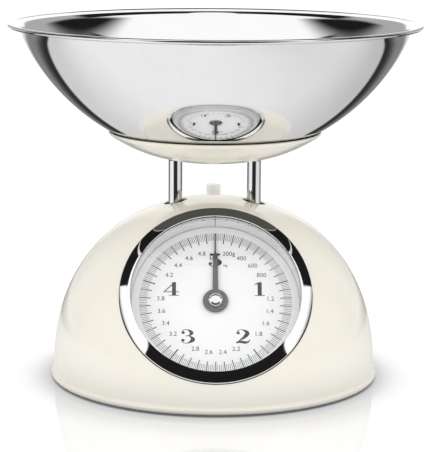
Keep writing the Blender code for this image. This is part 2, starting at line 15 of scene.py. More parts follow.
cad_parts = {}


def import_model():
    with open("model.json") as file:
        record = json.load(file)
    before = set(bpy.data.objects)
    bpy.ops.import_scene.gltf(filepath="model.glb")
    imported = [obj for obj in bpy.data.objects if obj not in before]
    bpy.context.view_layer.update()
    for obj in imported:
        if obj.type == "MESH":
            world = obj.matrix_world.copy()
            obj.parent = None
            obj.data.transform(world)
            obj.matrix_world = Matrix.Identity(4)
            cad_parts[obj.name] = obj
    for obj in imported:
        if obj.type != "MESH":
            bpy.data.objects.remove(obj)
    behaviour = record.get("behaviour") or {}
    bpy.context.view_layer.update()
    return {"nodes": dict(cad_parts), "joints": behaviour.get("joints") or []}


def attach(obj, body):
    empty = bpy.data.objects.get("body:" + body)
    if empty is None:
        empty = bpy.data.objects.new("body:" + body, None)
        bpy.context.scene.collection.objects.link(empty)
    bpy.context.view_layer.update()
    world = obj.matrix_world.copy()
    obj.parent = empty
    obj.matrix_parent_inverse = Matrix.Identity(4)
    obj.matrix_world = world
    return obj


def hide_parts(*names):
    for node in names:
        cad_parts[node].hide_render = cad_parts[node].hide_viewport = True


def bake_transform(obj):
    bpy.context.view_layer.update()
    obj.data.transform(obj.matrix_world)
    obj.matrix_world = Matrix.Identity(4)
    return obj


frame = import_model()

MM = 0.001  # a millimetre, in metres
FULL = 2 * math.pi
SIDES = ("left", "right")
SMOOTH_DEGREES = 35  # edges flatter than this are shaded smooth


# ---- the CAD frame

def dial_frame():
    """The frame of the dial, in metres: origin on its axis, Y up the dial and Z out of it."""
    spin = next(joint for joint in frame["joints"] if joint["name"] == "pointer_spin")
    out = -Vector(spin["axis"]).normalized()
    right = Vector((1, 0, 0))
    up = out.cross(right)
    turn = Matrix((right, up, out)).transposed().to_4x4()
    return Matrix.Translation(Vector(spin["pos_m"])) @ turn


DIAL = dial_frame()


def extent(node, place=Matrix()):
    """The lowest and highest corners of a CAD node in a frame, in mm."""
    mesh = frame["nodes"][node].data
    points = np.empty(len(mesh.vertices) * 3)
    mesh.vertices.foreach_get("co", points)
    turn = np.array(place.inverted())
    local = points.reshape(-1, 3) @ turn[:3, :3].T + turn[:3, 3]
    return local.min(0) / MM, local.max(0) / MM


def round_size(node, turn=Matrix()):
    """The radius of a round CAD node, and its lowest and highest points along its axis, in mm."""
    low, high = extent(node, turn)
    return (high[0] - low[0]) / 2, low[2], high[2]


def axis_frame(node, turn=Matrix()):
    """A frame at the middle of a CAD node across its own axis, at height 0 along it."""
    low, high = extent(node, turn)
    middle = Vector(((low[0] + high[0]) / 2, (low[1] + high[1]) / 2, 0)) * MM
    return turn @ Matrix.Translation(middle)


# ---- shader graphs

class Graph:
    """Adds nodes to a tree. A value is a number, a colour, a vector or another node's output."""

    def __init__(self, tree):
        self.tree = tree

    def node(self, kind, **settings):
        made = self.tree.nodes.new("ShaderNode" + kind)
        for key, value in settings.items():
            setattr(made, key, value)
        return made

    def put(self, socket, value):
        if isinstance(value, bpy.types.NodeSocket):
            self.tree.links.new(value, socket)
        elif value is not None:
            socket.default_value = value

    def math(self, operation, a, b=None, clamp=False):
        made = self.node("Math", operation=operation, use_clamp=clamp)
        self.put(made.inputs[0], a)
        self.put(made.inputs[1], b)
        return made.outputs[0]

    def vector(self, operation, a, b, output=0):
        made = self.node("VectorMath", operation=operation)
        self.put(made.inputs[0], a)
        self.put(made.inputs[1], b)
        return made.outputs[output]

    def dot(self, a, b):
        return self.vector("DOT_PRODUCT", a, b, 1)

    def between(self, factor, a, b):
        """A number that is a where the factor is 0 and b where it is 1."""
        rest = self.math("SUBTRACT", 1.0, factor)
        return self.math("ADD", self.math("MULTIPLY", a, rest), self.math("MULTIPLY", b, factor))

    def length(self, x, y):
        squares = [self.math("POWER", value, 2.0) for value in (x, y)]
        return self.math("SQRT", self.math("ADD", *squares))

    def ramp(self, value, start, end, low=0.0, high=1.0):
        """Eases from low to high as the value goes from start to end."""
        made = self.node("MapRange", interpolation_type="SMOOTHSTEP")
        for socket, number in zip(made.inputs, (value, start, end, low, high)):
            self.put(socket, number)
        return made.outputs[0]

    def mix(self, factor, a, b):
        made = self.node("Mix", data_type="RGBA")
        self.put(made.inputs["Factor"], factor)
        self.put(made.inputs[6], a)
        self.put(made.inputs[7], b)
        return made.outputs[2]

    def noise(self, scale, detail, stretch):
        """Noise over the piece, scale in features per metre."""
        place = self.node("TexCoord").outputs["Object"]
        mapping = self.node("Mapping")
        self.put(mapping.inputs["Vector"], place)
        self.put(mapping.inputs["Scale"], stretch)
        made = self.node("TexNoise")
        self.put(made.inputs["Vector"], mapping.outputs[0])
        self.put(made.inputs["Scale"], scale)
        self.put(made.inputs["Detail"], detail)
        return made.outputs["Fac"]

    def glow(self, strength=1.0, colour=(1.0, 1.0, 1.0, 1.0)):
        made = self.node("Emission")
        self.put(made.inputs["Strength"], strength)
        self.put(made.inputs["Color"], colour)
        return made.outputs[0]

    def blend(self, factor, first, second):
        """One shader where the factor is 0 and another where it is 1."""
        made = self.node("MixShader")
        for socket, value in zip(made.inputs, (factor, first, second)):
            self.put(socket, value)
        return made.outputs[0]

    def show(self, surface, kind="OutputMaterial"):
        self.put(self.node(kind).inputs["Surface"], surface)


def bare_graph(owner):
    """The node tree of a new material or world, emptied."""
    owner.use_nodes = True
    owner.node_tree.nodes.clear()
    return Graph(owner.node_tree)


# ---- materials

FINISHES = {}  # the materials by name


def finish(name, colours, roughness, metallic=0.0, grain=300.0, bump=0.0, stretch=(1, 1, 1), **sockets):
    """A procedural finish: two close colours and a roughness range over noise, and a fine bump.

    colours is a pair mixed by broad noise, roughness a (low, high) range, grain the bump's scale per metre
    and bump its height in mm. The material goes into FINISHES.
    """
    made = bpy.data.materials.new(name)
    made.use_nodes = True
    graph = Graph(made.node_tree)
    shader = made.node_tree.nodes["Principled BSDF"]
    broad_share = 0.12
    broad = graph.noise(grain * broad_share, 3.0, stretch)
    fine = graph.noise(grain, 4.0, stretch)
    first, second = ((*c, 1.0) for c in colours)
    graph.put(shader.inputs["Base Color"], graph.mix(graph.ramp(broad, 0.3, 0.7), first, second))
    graph.put(shader.inputs["Roughness"], graph.ramp(fine, 0.25, 0.75, *roughness))
    shader.inputs["Metallic"].default_value = metallic
    for socket, value in sockets.items():
        shader.inputs[socket.replace("_", " ")].default_value = value
    if bump:
        ripple = graph.node("Bump")
        ripple.inputs["Distance"].default_value = bump * MM
        graph.put(ripple.inputs["Height"], fine)
        graph.put(shader.inputs["Normal"], ripple.outputs[0])
    FINISHES[name] = made


finish("cream_enamel", ((0.868, 0.836, 0.742), (0.878, 0.846, 0.755)), (0.16, 0.24), grain=160, bump=0.004,
       Coat_Weight=0.35, Coat_Roughness=0.05)
finish("polished_steel", ((0.83, 0.83, 0.83), (0.85, 0.85, 0.85)), (0.03, 0.06), 1.0, grain=500)
finish("chrome", ((0.86, 0.86, 0.86), (0.88, 0.88, 0.88)), (0.02, 0.05), 1.0, grain=700)
finish("dial_white", ((0.975, 0.975, 0.975), (0.985, 0.985, 0.985)), (0.42, 0.52), grain=900, bump=0.003)
finish("dial_ink", ((0.010, 0.010, 0.011), (0.018, 0.018, 0.019)), (0.35, 0.5), grain=900)
finish("dial_ink_grey", ((0.10, 0.10, 0.105), (0.14, 0.14, 0.145)), (0.35, 0.5), grain=900)
finish("pointer_black", ((0.095, 0.095, 0.098), (0.115, 0.115, 0.118)), (0.35, 0.5), grain=600, bump=0.004)
finish("white_plastic", ((0.96, 0.96, 0.96), (0.98, 0.98, 0.98)), (0.3, 0.42), grain=400, bump=0.006)
finish("bright_liner", ((0.86, 0.86, 0.86), (0.89, 0.89, 0.89)), (0.10, 0.16), 1.0, grain=400, bump=0.002)
finish("black_plastic", ((0.018, 0.018, 0.019), (0.03, 0.03, 0.031)), (0.4, 0.6), grain=500, bump=0.02)
finish("rubber", ((0.025, 0.025, 0.026), (0.04, 0.04, 0.041)), (0.7, 0.9), grain=500, bump=0.03)
finish("zinc_steel", ((0.50, 0.51, 0.53), (0.62, 0.63, 0.66)), (0.25, 0.45), 1.0, grain=250, bump=0.004)
finish("spring_steel", ((0.36, 0.36, 0.37), (0.46, 0.46, 0.48)), (0.22, 0.35), 1.0, grain=500)
finish("brass", ((0.72, 0.52, 0.20), (0.80, 0.60, 0.27)), (0.2, 0.35), 1.0, grain=300, bump=0.003)
finish("aluminium", ((0.66, 0.67, 0.68), (0.74, 0.75, 0.76)), (0.3, 0.45), 1.0, grain=250, bump=0.006,
       stretch=(0.1, 1, 1))
finish("glass", ((1.0, 1.0, 1.0), (0.985, 1.0, 0.995)), (0.0, 0.012), grain=60, IOR=1.45,
       Transmission_Weight=1.0)


# ---- modelling tools

def linked(name, data):
    """A new object in the scene."""
    made = bpy.data.objects.new(name, data)
    bpy.context.scene.collection.objects.link(made)
    return made


def mesh_of(name, shape):
    """A new mesh from a bmesh, which it frees."""
    mesh = bpy.data.meshes.new(name)
    shape.to_mesh(mesh)
    shape.free()
    return mesh


def from_bmesh(name, shape, place=Matrix(), sharp=SMOOTH_DEGREES):
    """Turns a bmesh in mm, in a frame, into a smooth-shaded object whose mesh is in world metres."""
    bmesh.ops.scale(shape, vec=(MM, MM, MM), verts=shape.verts)
    mesh = mesh_of(name, shape)
    mesh.transform(place)
    mesh.shade_smooth()
    mesh.set_sharp_from_angle(angle=math.radians(sharp))
    return linked(name, mesh)


def put(piece, finish_name, body, *nodes):
    """Gives a piece its finish and its body, and hides the CAD nodes that it stands for."""
    piece.data.materials.clear()
    piece.data.materials.append(FINISHES[finish_name])
    if body:
        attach(piece, body)
    if nodes:
        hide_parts(*nodes)


def rounded(corners, steps=5):
    """A closed outline from (a, b, radius) corners, with each corner turned into an arc.

    A point just before and after an arc keeps the long face beside it from taking the arc's shading.
    """
    outline = []
    beside, long_face = 0.05, 2.5
    for i, (a, b, radius) in enumerate(corners):
        here = Vector((a, b))
        back = Vector(corners[i - 1][:2]) - here
        ahead = Vector(corners[(i + 1) % len(corners)][:2]) - here
        to_back, to_ahead = back.normalized(), ahead.normalized()
        half = back.angle(ahead) / 2
        if radius <= 0 or half > math.radians(89):
            outline.append((a, b))
            continue
        run = radius / math.tan(half)
        start, end = here + to_back * run, here + to_ahead * run
        middle = here + (to_back + to_ahead).normalized() * (radius / math.sin(half))
        sweep = (start - middle).angle_signed(end - middle)
        if back.length > run + long_face:
            outline.append(tuple(start + to_back * beside))
        for k in range(steps + 1):
            arm = start - middle
            arm.rotate(Matrix.Rotation(-sweep * k / steps, 2))
            outline.append(tuple(middle + arm))
        if ahead.length > run + long_face:
            outline.append(tuple(end + to_ahead * beside))
    return outline


def area_of(outline):
    pairs = zip(outline, outline[1:] + outline[:1])
    return sum(a[0] * b[1] - b[0] * a[1] for a, b in pairs)


def band(shape, low, high):
    """Faces between two rings of vertices; a ring may be one vertex repeated."""
    for i in range(len(low)):
        j = (i + 1) % len(low)
        corners = [low[i], low[j], high[j], high[i]]
        unique = [v for k, v in enumerate(corners) if v not in corners[:k]]
        if len(unique) > 2:
            shape.faces.new(unique)


def turned(name, outline, place=Matrix(), sides=96, wave=None, sharp=SMOOTH_DEGREES, closed=True):
    """A solid turned about Z from a closed outline of (radius, height) points, or a sheet from an open one.

    wave(angle, radius) may scale the radius, for the knob's ribs.
    """
    if area_of(outline) < 0:
        outline = outline[::-1]
    shape = bmesh.new()
    rings = []
    for radius, height in outline:
        if radius < 1e-6:
            rings.append([shape.verts.new((0, 0, height))] * sides)
            continue
        ring = []
        for i in range(sides):
            angle = FULL * i / sides
            r = radius * wave(angle, radius) if wave else radius
            ring.append(shape.verts.new((r * math.cos(angle), r * math.sin(angle), height)))
        rings.append(ring)
    if closed:
        rings.append(rings[0])
    for low, high in zip(rings, rings[1:]):
        band(shape, low, high)
    return from_bmesh(name, shape, place, sharp)


def slab(name, outline, low, high, place=Matrix()):
    """An extruded outline of (x, y) points between two heights."""
    if area_of(outline) < 0:
        outline = outline[::-1]
    shape = bmesh.new()
    bottom = [shape.verts.new((x, y, low)) for x, y in outline]
    top = [shape.verts.new((x, y, high)) for x, y in outline]
    shape.faces.new(bottom[::-1])
    shape.faces.new(top)
    band(shape, bottom, top)
    return from_bmesh(name, shape, place)


def bar(x0, x1, y0, y1):
    """A rectangle's outline."""
    return [(x0, y0), (x1, y0), (x1, y1), (x0, y1)]


def circle(radius, centre=(0, 0), sides=48):
    """A round outline, turned a little so that its corners miss those of what it cuts."""
    offset = 0.37
    angles = [FULL * (i + offset) / sides for i in range(sides)]
    return [(centre[0] + radius * math.cos(a), centre[1] + radius * math.sin(a)) for a in angles]


def bake(piece):
    """Applies a piece's modifiers to its mesh."""
    graph = bpy.context.evaluated_depsgraph_get()
    mesh = bpy.data.meshes.new_from_object(piece.evaluated_get(graph))
    piece.modifiers.clear()
    piece.data = mesh
    mesh.shade_smooth()
    mesh.set_sharp_from_angle(angle=math.radians(SMOOTH_DEGREES))


def combine(piece, operation, tools):
    """Cuts the tools out of a piece or joins them to it, and removes them."""
    for tool in tools:
        modifier = piece.modifiers.new(tool.name, "BOOLEAN")
        modifier.operation = operation
        modifier.object = tool
        modifier.solver = "EXACT"
    bake(piece)
    for tool in tools:
        bpy.data.objects.remove(tool)


def merged(name, pieces):
    """One object from several, as separate bodies in one mesh."""
    shape = bmesh.new()
    for piece in pieces:
        shape.from_mesh(piece.data)
        bpy.data.objects.remove(piece)
    return linked(name, mesh_of(name, shape))


def tube(name, centreline, radius, place):
    """A round wire along a list of points, with closed ends."""
    sides = 12
    shape = bmesh.new()
    rings = []
    points = [Vector(p) for p in centreline]
    for i, point in enumerate(points):
        along = (points[min(i + 1, len(points) - 1)] - points[max(i - 1, 0)]).normalized()
        side = (side - along * side.dot(along)).normalized() if i else along.orthogonal().normalized()
        across = along.cross(side)
        ring = []
        for k in range(sides):
            angle = FULL * k / sides
            arm = side * math.cos(angle) + across * math.sin(angle)
            ring.append(shape.verts.new(point + arm * radius))
        rings.append(ring)
    for low, high in zip(rings, rings[1:]):
        band(shape, low, high)
    shape.faces.new(rings[0][::-1])
    shape.faces.new(rings[-1])
    return from_bmesh(name, shape, place)


# ---- housing

LIP_R, _, DOME_TOP_Z = round_size("housing_shell")
DOME_R = LIP_R - 1.7  # where the dome meets its lip
DOME_BASE_Z = 6.0
DOME_H = DOME_TOP_Z - DOME_BASE_Z
DOME_POWERS = (2.103, 2.207)  # of the radius and of the height in the dome's rounded profile
SHELL_T = 1.0
LIP_BOTTOM_Z = 1.5
LIP_TOP_Z = 5.0
POST_HOLE_R = 7.35
ZERO_HOLE_R = 2.9
SCREW_HOLE_R = 1.8


def dome_outline(radius, height, rows):
    """The dome's profile from its foot to its top, as (radius, z) points."""
    points = []
    for i in range(rows + 1):
        angle = math.pi / 2 * i / rows
        r = radius * math.cos(angle) ** (2 / DOME_POWERS[0]) if i < rows else 0.0
        points.append((r, DOME_BASE_Z + height * math.sin(angle) ** (2 / DOME_POWERS[1])))
    return points


def dome_normal(point):
    """The dome's outward direction at a point in mm, and how far the point is off the dome's surface."""
    r = math.hypot(point.x, point.y)
    up = max(point.z - DOME_BASE_Z, 0.0) / DOME_H
    p, q = DOME_POWERS
    level = (r / DOME_R) ** p + up ** q
    slope_r = p * (r / DOME_R) ** (p - 1) / DOME_R
    slope_z = q * up ** (q - 1) / DOME_H
    out = Vector((point.x / max(r, 1e-6) * slope_r, point.y / max(r, 1e-6) * slope_r, slope_z))
    return out.normalized(), abs(level - 1) / max(out.length, 1e-9)


def smooth_dome(mesh):
    """Gives the dome's outer face its curve's exact normals, so that openings leave no shading marks."""
    nearest, alike = 0.05, 0.97
    corner_normals = [Vector(c.vector) for c in mesh.corner_normals]
    for face in mesh.polygons:
        points = [mesh.vertices[v].co / MM for v in face.vertices]
        exact = [dome_normal(p) for p in points]
        centre = sum((e[0] for e in exact), Vector()).normalized()
        if max(e[1] for e in exact) < nearest and centre.dot(face.normal) > alike:
            for corner, (normal, _) in zip(face.loop_indices, exact):
                corner_normals[corner] = normal
    mesh.normals_split_custom_set([tuple(n) for n in corner_normals])


def housing():
    """The dome with its lip, its screw tabs and its openings."""
    inner_r = DOME_R - SHELL_T
    corners = [
        (inner_r, DOME_BASE_Z, 0), (inner_r, LIP_BOTTOM_Z + 0.5, 0.2), (DOME_R - 0.5, LIP_BOTTOM_Z, 0.2),
        (LIP_R, LIP_BOTTOM_Z, 1.5), (LIP_R, LIP_TOP_Z, 1.5), (DOME_R + 0.5, LIP_TOP_Z + 0.1, 0.25),
        (DOME_R, DOME_BASE_Z, 0),
    ]
    outer, inner = dome_outline(DOME_R, DOME_H, 80), dome_outline(inner_r, DOME_H - SHELL_T, 40)
    shell = turned("dome_housing", rounded(corners)[:-1] + outer + inner[:0:-1], sides=160)
    cutters = [slab("dial_opening", circle(BEZEL_R + 0.35, sides=160), -20, 30, DIAL)]
    low, high = DOME_TOP_Z - 20, DOME_TOP_Z + 10
    for side in SIDES:
        cutters.append(slab("post_opening", circle(POST_HOLE_R), low, high, axis_frame(f"post_{side}")))
    zero_hole = circle(ZERO_HOLE_R, sides=32)
    cutters.append(slab("zero_opening", zero_hole, low, high, axis_frame("zero_screw")))
    tabs = []
    tab_low, tab_high = 7.3, 9.3
    screw_hole = circle(SCREW_HOLE_R, sides=24)
    for i in range(1, 5):
        middle = axis_frame(f"base_screw_{i}")
        turn = Matrix.Rotation(math.atan2(middle.translation.y, middle.translation.x), 4, "Z")
        corners = rounded([(-4, -5, 1.5), (7.4, -5, 0), (7.4, 5, 0), (-4, 5, 1.5)])
        tabs.append(slab("shell_tab", corners, tab_low, tab_high, middle @ turn))
        cutters.append(slab("tab_hole", screw_hole, tab_low - 1.3, tab_high + 1.7, middle))
    combine(shell, "UNION", tabs)
    combine(shell, "DIFFERENCE", cutters)
    smooth_dome(shell.data)
    put(shell, "cream_enamel", "base", "housing_shell")


def base():
    """The base plate, with three shallow grooves pressed into its underside."""
    radius, bottom, rim = round_size("base_plate")
    floor, roof = bottom + 2.0, bottom + 0.7
    grooves = []
    for r in (30, 45, 60):
        grooves += [(r - 1, bottom, 0), (r - 0.6, roof, 0.2), (r + 0.6, roof, 0.2), (r + 1, bottom, 0)]
    corners = [(0, bottom, 0)] + grooves + [
        (radius, bottom, 0.8), (radius, rim, 0.5), (radius - 1.5, rim, 0.5), (radius - 1.5, floor, 0.4),
        (0, floor, 0),
    ]
    plate = turned("base_cover", rounded(corners), sides=128)
    holes = []
    for kind, hole_r in (("foot", 2.8), ("base_screw", SCREW_HOLE_R), ("chassis_screw", SCREW_HOLE_R)):
        for i in range(1, 5):
            hole = circle(hole_r, sides=24)
            holes.append(slab("plate_hole", hole, bottom - 2, floor + 4, axis_frame(f"{kind}_{i}")))
    combine(plate, "DIFFERENCE", holes)
    put(plate, "black_plastic", "base", "base_plate")


def feet():
    """Four rubber feet, each with a hollow sole and a barbed stem."""
    for i in range(1, 5):
        node = f"foot_{i}"
        radius, _, top = round_size(node)
        hollow, seat, stem_r, barb_r, barb = 0.7, 2.7, 2.4, 3.2, top - 2.0
        corners = [
            (0, hollow, 0), (3.0, hollow, 0.2), (3.4, 0, 0.3), (radius - 0.2, 0, 0.5),
            (radius, seat * 0.6, 0.4), (radius - 0.5, seat, 0.4), (stem_r, seat, 0), (stem_r, barb, 0),
            (barb_r, barb, 0.2), (0, top, 0),
        ]
        foot = turned(f"rubber_foot_{i}", rounded(corners), axis_frame(node), sides=48)
        put(foot, "rubber", "base", node)


# ---- fasteners

def thread(root, crest, start, end, pitch):
    """The outline of a thread between two heights."""
    outline = []
    z = start
    while z + pitch < end:
        outline += [(root, z, 0), (crest, z + pitch / 2, 0)]
        z += pitch
    return outline


def pan_screw(node, body, turn=Matrix(), head_low=True):
    """A pan-head screw with a cross recess and a thread, in the place of its CAD node.

    turn is a frame whose Z is the screw's axis; head_low says that the head is at its lower end.
    """
    head_r, low, high = round_size(node, turn)
    place, length = axis_frame(node, turn), high - low
    if head_low:
        place = place @ Matrix.Translation((0, 0, low * MM))
    else:
        place = place @ Matrix.Translation((0, 0, high * MM)) @ Matrix.Rotation(math.pi, 4, "X")
    head_t, shank = min(1.3, length / 4), 1.5
    root, end = shank - 0.25, length - 0.5
    head = [(0, 0, 0), (head_r - 0.7, 0.0, 0.5), (head_r, head_t, 0.15), (shank - 0.1, head_t, 0)]
    tip = [(root, end, 0), (shank - 0.8, length, 0.1), (0, length, 0)]
    outline = head + thread(root, shank, head_t + 0.8, end, pitch=0.7) + tip
    piece = turned(f"{node}_cross_head", rounded(outline, 4), place, sides=32)
    arm, half = head_r * 0.62, 0.32  # of the cross recess
    blades = []
    for x, y in ((arm, half), (half, arm)):
        corners = rounded([(-x, -y, 0.1), (x, -y, 0.1), (x, y, 0.1), (-x, y, 0.1)], 2)
        blades.append(slab("recess", corners, -0.5, head_t * 0.75, place))
    combine(piece, "DIFFERENCE", blades)
    put(piece, "zinc_steel", body, node)


def screws():
    for i in range(1, 5):
        pan_screw(f"base_screw_{i}", "base")
        pan_screw(f"chassis_screw_{i}", "base")
    for i in range(1, 4):
        pan_screw(f"plate_screw_{i}", "base", DIAL)
    across = Matrix.Rotation(math.pi / 2, 4, "Y")
    pan_screw("cheek_screw_left", "base", across)
    pan_screw("cheek_screw_right", "base", across, head_low=False)
    for side in SIDES:
        pan_screw(f"tray_screw_{side}", "platform", head_low=False)


# ---- dial head

BEZEL_R, _, BEZEL_FRONT = round_size("bezel", DIAL)
GLASS_R = 51.8
FACE_R, FACE_BACK, FACE_FRONT = round_size("dial_plate", DIAL)
PILLARS = [(-32.0, 0.0), (32.0, 0.0), (0.0, -34.0)]


def bezel():
    """The dial ring: a broad, shallow crown that turns down steeply at its outer edge."""
    crown_in, crown_out = GLASS_R + 0.2, BEZEL_R - 0.12
    width, steps = crown_out - crown_in, 14
    first_slope, last_slope = 0.14, 0.56
    crown = []
    near_edge = 0.985
    for share in [i / steps for i in range(steps)] + [near_edge, 1.0]:
        drop = first_slope * share + (last_slope - first_slope) * share ** 2 / 2
        crown.append((crown_in + width * share, BEZEL_FRONT - width * drop, 0))
    skirt_r, skirt_end = 57.4, -6.5
    lens_seat, gasket_seat, drum_seat = (54.2, 3.9), (55.0, 2.2), (skirt_r, 0.6)
    corners = [
        (BEZEL_R, skirt_end, 0.2), (BEZEL_R, crown[-1][1] - 0.12, 0), *crown[::-1],
        (GLASS_R, BEZEL_FRONT - 0.2, 0.1), (GLASS_R, lens_seat[1], 0.1), (*lens_seat, 0),
        (lens_seat[0], gasket_seat[1], 0), (*gasket_seat, 0), (gasket_seat[0], drum_seat[1], 0),
        (*drum_seat, 0), (skirt_r, skirt_end, 0.1),
    ]
    ring = turned("dial_ring", rounded(corners), DIAL, sides=192, sharp=40)
    put(ring, "chrome", "base", "bezel")


def dial_drum():
    """The white drum behind the lens, with its stepped wall and the pillars of the movement plate."""
    back, ledge, front = extent("dial_cup", DIAL)[0][2], FACE_BACK - 0.3, 1.6
    floor = back + 1.2
    flange_r, flange, rear_r, inner_r, hub_r = 57.1, 0.3, 54.0, 49.5, 3.6
    corners = [
        (GLASS_R, front, 0.2), (54.7, front, 0.1), (54.7, flange, 0), (flange_r, flange, 0.2),
        (flange_r, -6.5, 0.2), (rear_r, -8.0, 0.4), (rear_r, back, 0.6), (hub_r, back, 0.2),
        (hub_r, floor, 0.2), (inner_r, floor, 0.3), (inner_r, ledge, 0.1), (GLASS_R, ledge, 0),
    ]
    drum = turned("dial_drum", rounded(corners), DIAL, sides=128)
    pillar_r, bore_r = 3.2, 1.7
    pillar_low = extent("plate_screw_1", DIAL)[0][2] + 3.3
    pillars, bores = [], []
    for x, y in PILLARS:
        pillars.append(slab("pillar", circle(pillar_r, (x, y), 32), pillar_low, back + 0.6, DIAL))
        bores.append(slab("pillar_bore", circle(bore_r, (x, y), 24), pillar_low - 2, pillar_low + 6.5, DIAL))
    combine(drum, "UNION", pillars)
    combine(drum, "DIFFERENCE", bores)
    put(drum, "white_plastic", "base", "dial_cup")


def dial_liner():
    """The bright ring that lines the drum between the lens and the dial, and the zero mark on it."""
    inside, outside, foot, rim = GLASS_R - 0.25, GLASS_R - 0.04, FACE_FRONT + 0.12, 1.5
    corners = [(outside, rim, 0), (outside, foot, 0), (inside, foot, 0), (inside, rim - 0.15, 0.05)]
    liner = turned("dial_liner", rounded(corners, 2), DIAL, sides=128)
    put(liner, "bright_liner", "base")
    half = 0.16
    outline = bar(-half, half, GLASS_R - 0.35, GLASS_R + 0.1)
    mark = slab("zero_mark", outline, FACE_FRONT + 0.3, rim - 0.1, DIAL)
    put(mark, "dial_ink_grey", "base")


def dial_face():
    hole_r = 2.6
    corners = [
        (hole_r, FACE_FRONT, 0.1), (FACE_R, FACE_FRONT, 0.25), (FACE_R, FACE_BACK, 0.1),
        (hole_r, FACE_BACK, 0.1),
    ]
    put(turned("dial_disc", rounded(corners, 3), DIAL, sides=128), "dial_white", "base", "dial_plate")


def lens():
    """The flat glass and the ring that seals it."""
    radius, back, front = round_size("lens", DIAL)
    corners = [(0, back, 0), (radius, back, 0.2), (radius, front, 0.2), (0, front, 0)]
    pane = turned("dial_glass", rounded(corners, 3), DIAL, sides=128)
    pane.visible_shadow = pane.visible_diffuse = False
    put(pane, "glass", "base", "lens")
    radius, back, front = round_size("lens_gasket", DIAL)
    corners = [(r, z, 0.2) for r, z in bar(GLASS_R + 0.2, radius, back, front)]
    put(turned("lens_seal", rounded(corners, 3), DIAL, sides=96), "rubber", "base", "lens_gasket")


def smooth_path(points):
    """A Catmull-Rom curve through (x, y, width) points."""
    steps = 6
    padded = [points[0], *points, points[-1]]
    path = []
    for i in range(1, len(padded) - 2):
        a, b, c, d = (Vector(p) for p in padded[i - 1:i + 3])
        for k in range(steps):
            t = k / steps
            path.append(0.5 * ((2 * b) + (c - a) * t + (2 * a - 5 * b + 4 * c - d) * t ** 2
                               + (3 * b - a - 3 * c + d) * t ** 3))
    path.append(Vector(points[-1]))
    return path


def pen(points):
    """The outline of a pen stroke whose width changes along its (x, y, width) points."""
    path = smooth_path(points) if len(points) > 2 else [Vector(p) for p in points]
    left, right = [], []
    for i, point in enumerate(path):
        along = (path[min(i + 1, len(path) - 1)] - path[max(i - 1, 0)]).xy.normalized()
        side = Vector((-along.y, along.x)) * point.z / 2
        left.append(tuple(point.xy + side))
        right.append(tuple(point.xy - side))
    return left + right[::-1]


def numeral(digit):
    """Outlines of an upright, heavy numeral with hairlines and ball ends, one unit tall."""
    ball = {"2": (0.20, 0.74), "3": (0.20, 0.76)}.get(digit)
    shapes = [circle(0.095, ball, 20)] if ball else []
    hook = [(0.46, 0.025, 0.05), (0.20, 0.07, 0.05), (0.105, 0.22, 0.03)]
    hook_ball = circle(0.10, (0.19, 0.23), 20)
    if digit == "1":
        shapes += [
            bar(0.38, 0.62, 0.01, 0.97), bar(0.20, 0.80, 0.0, 0.045),
            [(0.20, 0.80), (0.40, 0.84), (0.62, 0.985), (0.50, 0.985), (0.20, 0.85)],
        ]
    if digit == "2":
        shapes += [
            pen([(0.125, 0.74, 0.03), (0.20, 0.92, 0.05), (0.44, 0.975, 0.05), (0.73, 0.74, 0.25),
                 (0.52, 0.42, 0.17), (0.27, 0.22, 0.06), (0.09, 0.03, 0.05)]),
            pen([(0.09, 0.06, 0.10), (0.30, 0.13, 0.16), (0.60, 0.08, 0.17), (0.80, 0.14, 0.08),
                 (0.87, 0.30, 0.03)]),
        ]
    if digit == "3":
        shapes += [
            pen([(0.125, 0.76, 0.03), (0.22, 0.93, 0.05), (0.44, 0.975, 0.05), (0.69, 0.76, 0.22),
                 (0.56, 0.57, 0.08), (0.34, 0.53, 0.04)]),
            pen([(0.34, 0.53, 0.04), (0.58, 0.51, 0.06), (0.77, 0.27, 0.25), *hook]),
            hook_ball,
        ]
    if digit == "4":
        shapes += [
            bar(0.53, 0.76, 0.01, 0.97), bar(0.34, 0.95, 0.0, 0.045), bar(0.03, 0.95, 0.25, 0.30),
            pen([(0.70, 0.975, 0.06), (0.06, 0.275, 0.06)]),
        ]
    if digit == "5":
        shapes += [
            [(0.19, 0.985), (0.40, 0.95), (0.62, 0.96), (0.80, 0.995), (0.74, 0.83), (0.56, 0.80),
             (0.19, 0.83)],
            bar(0.17, 0.21, 0.52, 0.98),
            pen([(0.18, 0.53, 0.04), (0.40, 0.62, 0.05), (0.76, 0.33, 0.26), *hook]),
            hook_ball,
        ]
    return shapes


INK = (0.015, 0.055)  # where the print begins and ends above the dial's face
INK_LAYER = 0.003
TICK_OUT = 46.9


def printed(name, outline, layer=0):
    """A thin raised shape on the dial; strokes that cross lie on layers of their own."""
    return slab(name, outline, FACE_FRONT + INK[0], FACE_FRONT + INK[1] + INK_LAYER * layer, DIAL)


def at_turn(degrees, radius):
    """A point on the dial, degrees clockwise from its top."""
    angle = math.radians(degrees)
    return radius * math.sin(angle), radius * math.cos(angle)


def tick(degrees, inner, width):
    return printed("tick", pen([(*at_turn(degrees, radius), width) for radius in (inner, TICK_OUT)]))


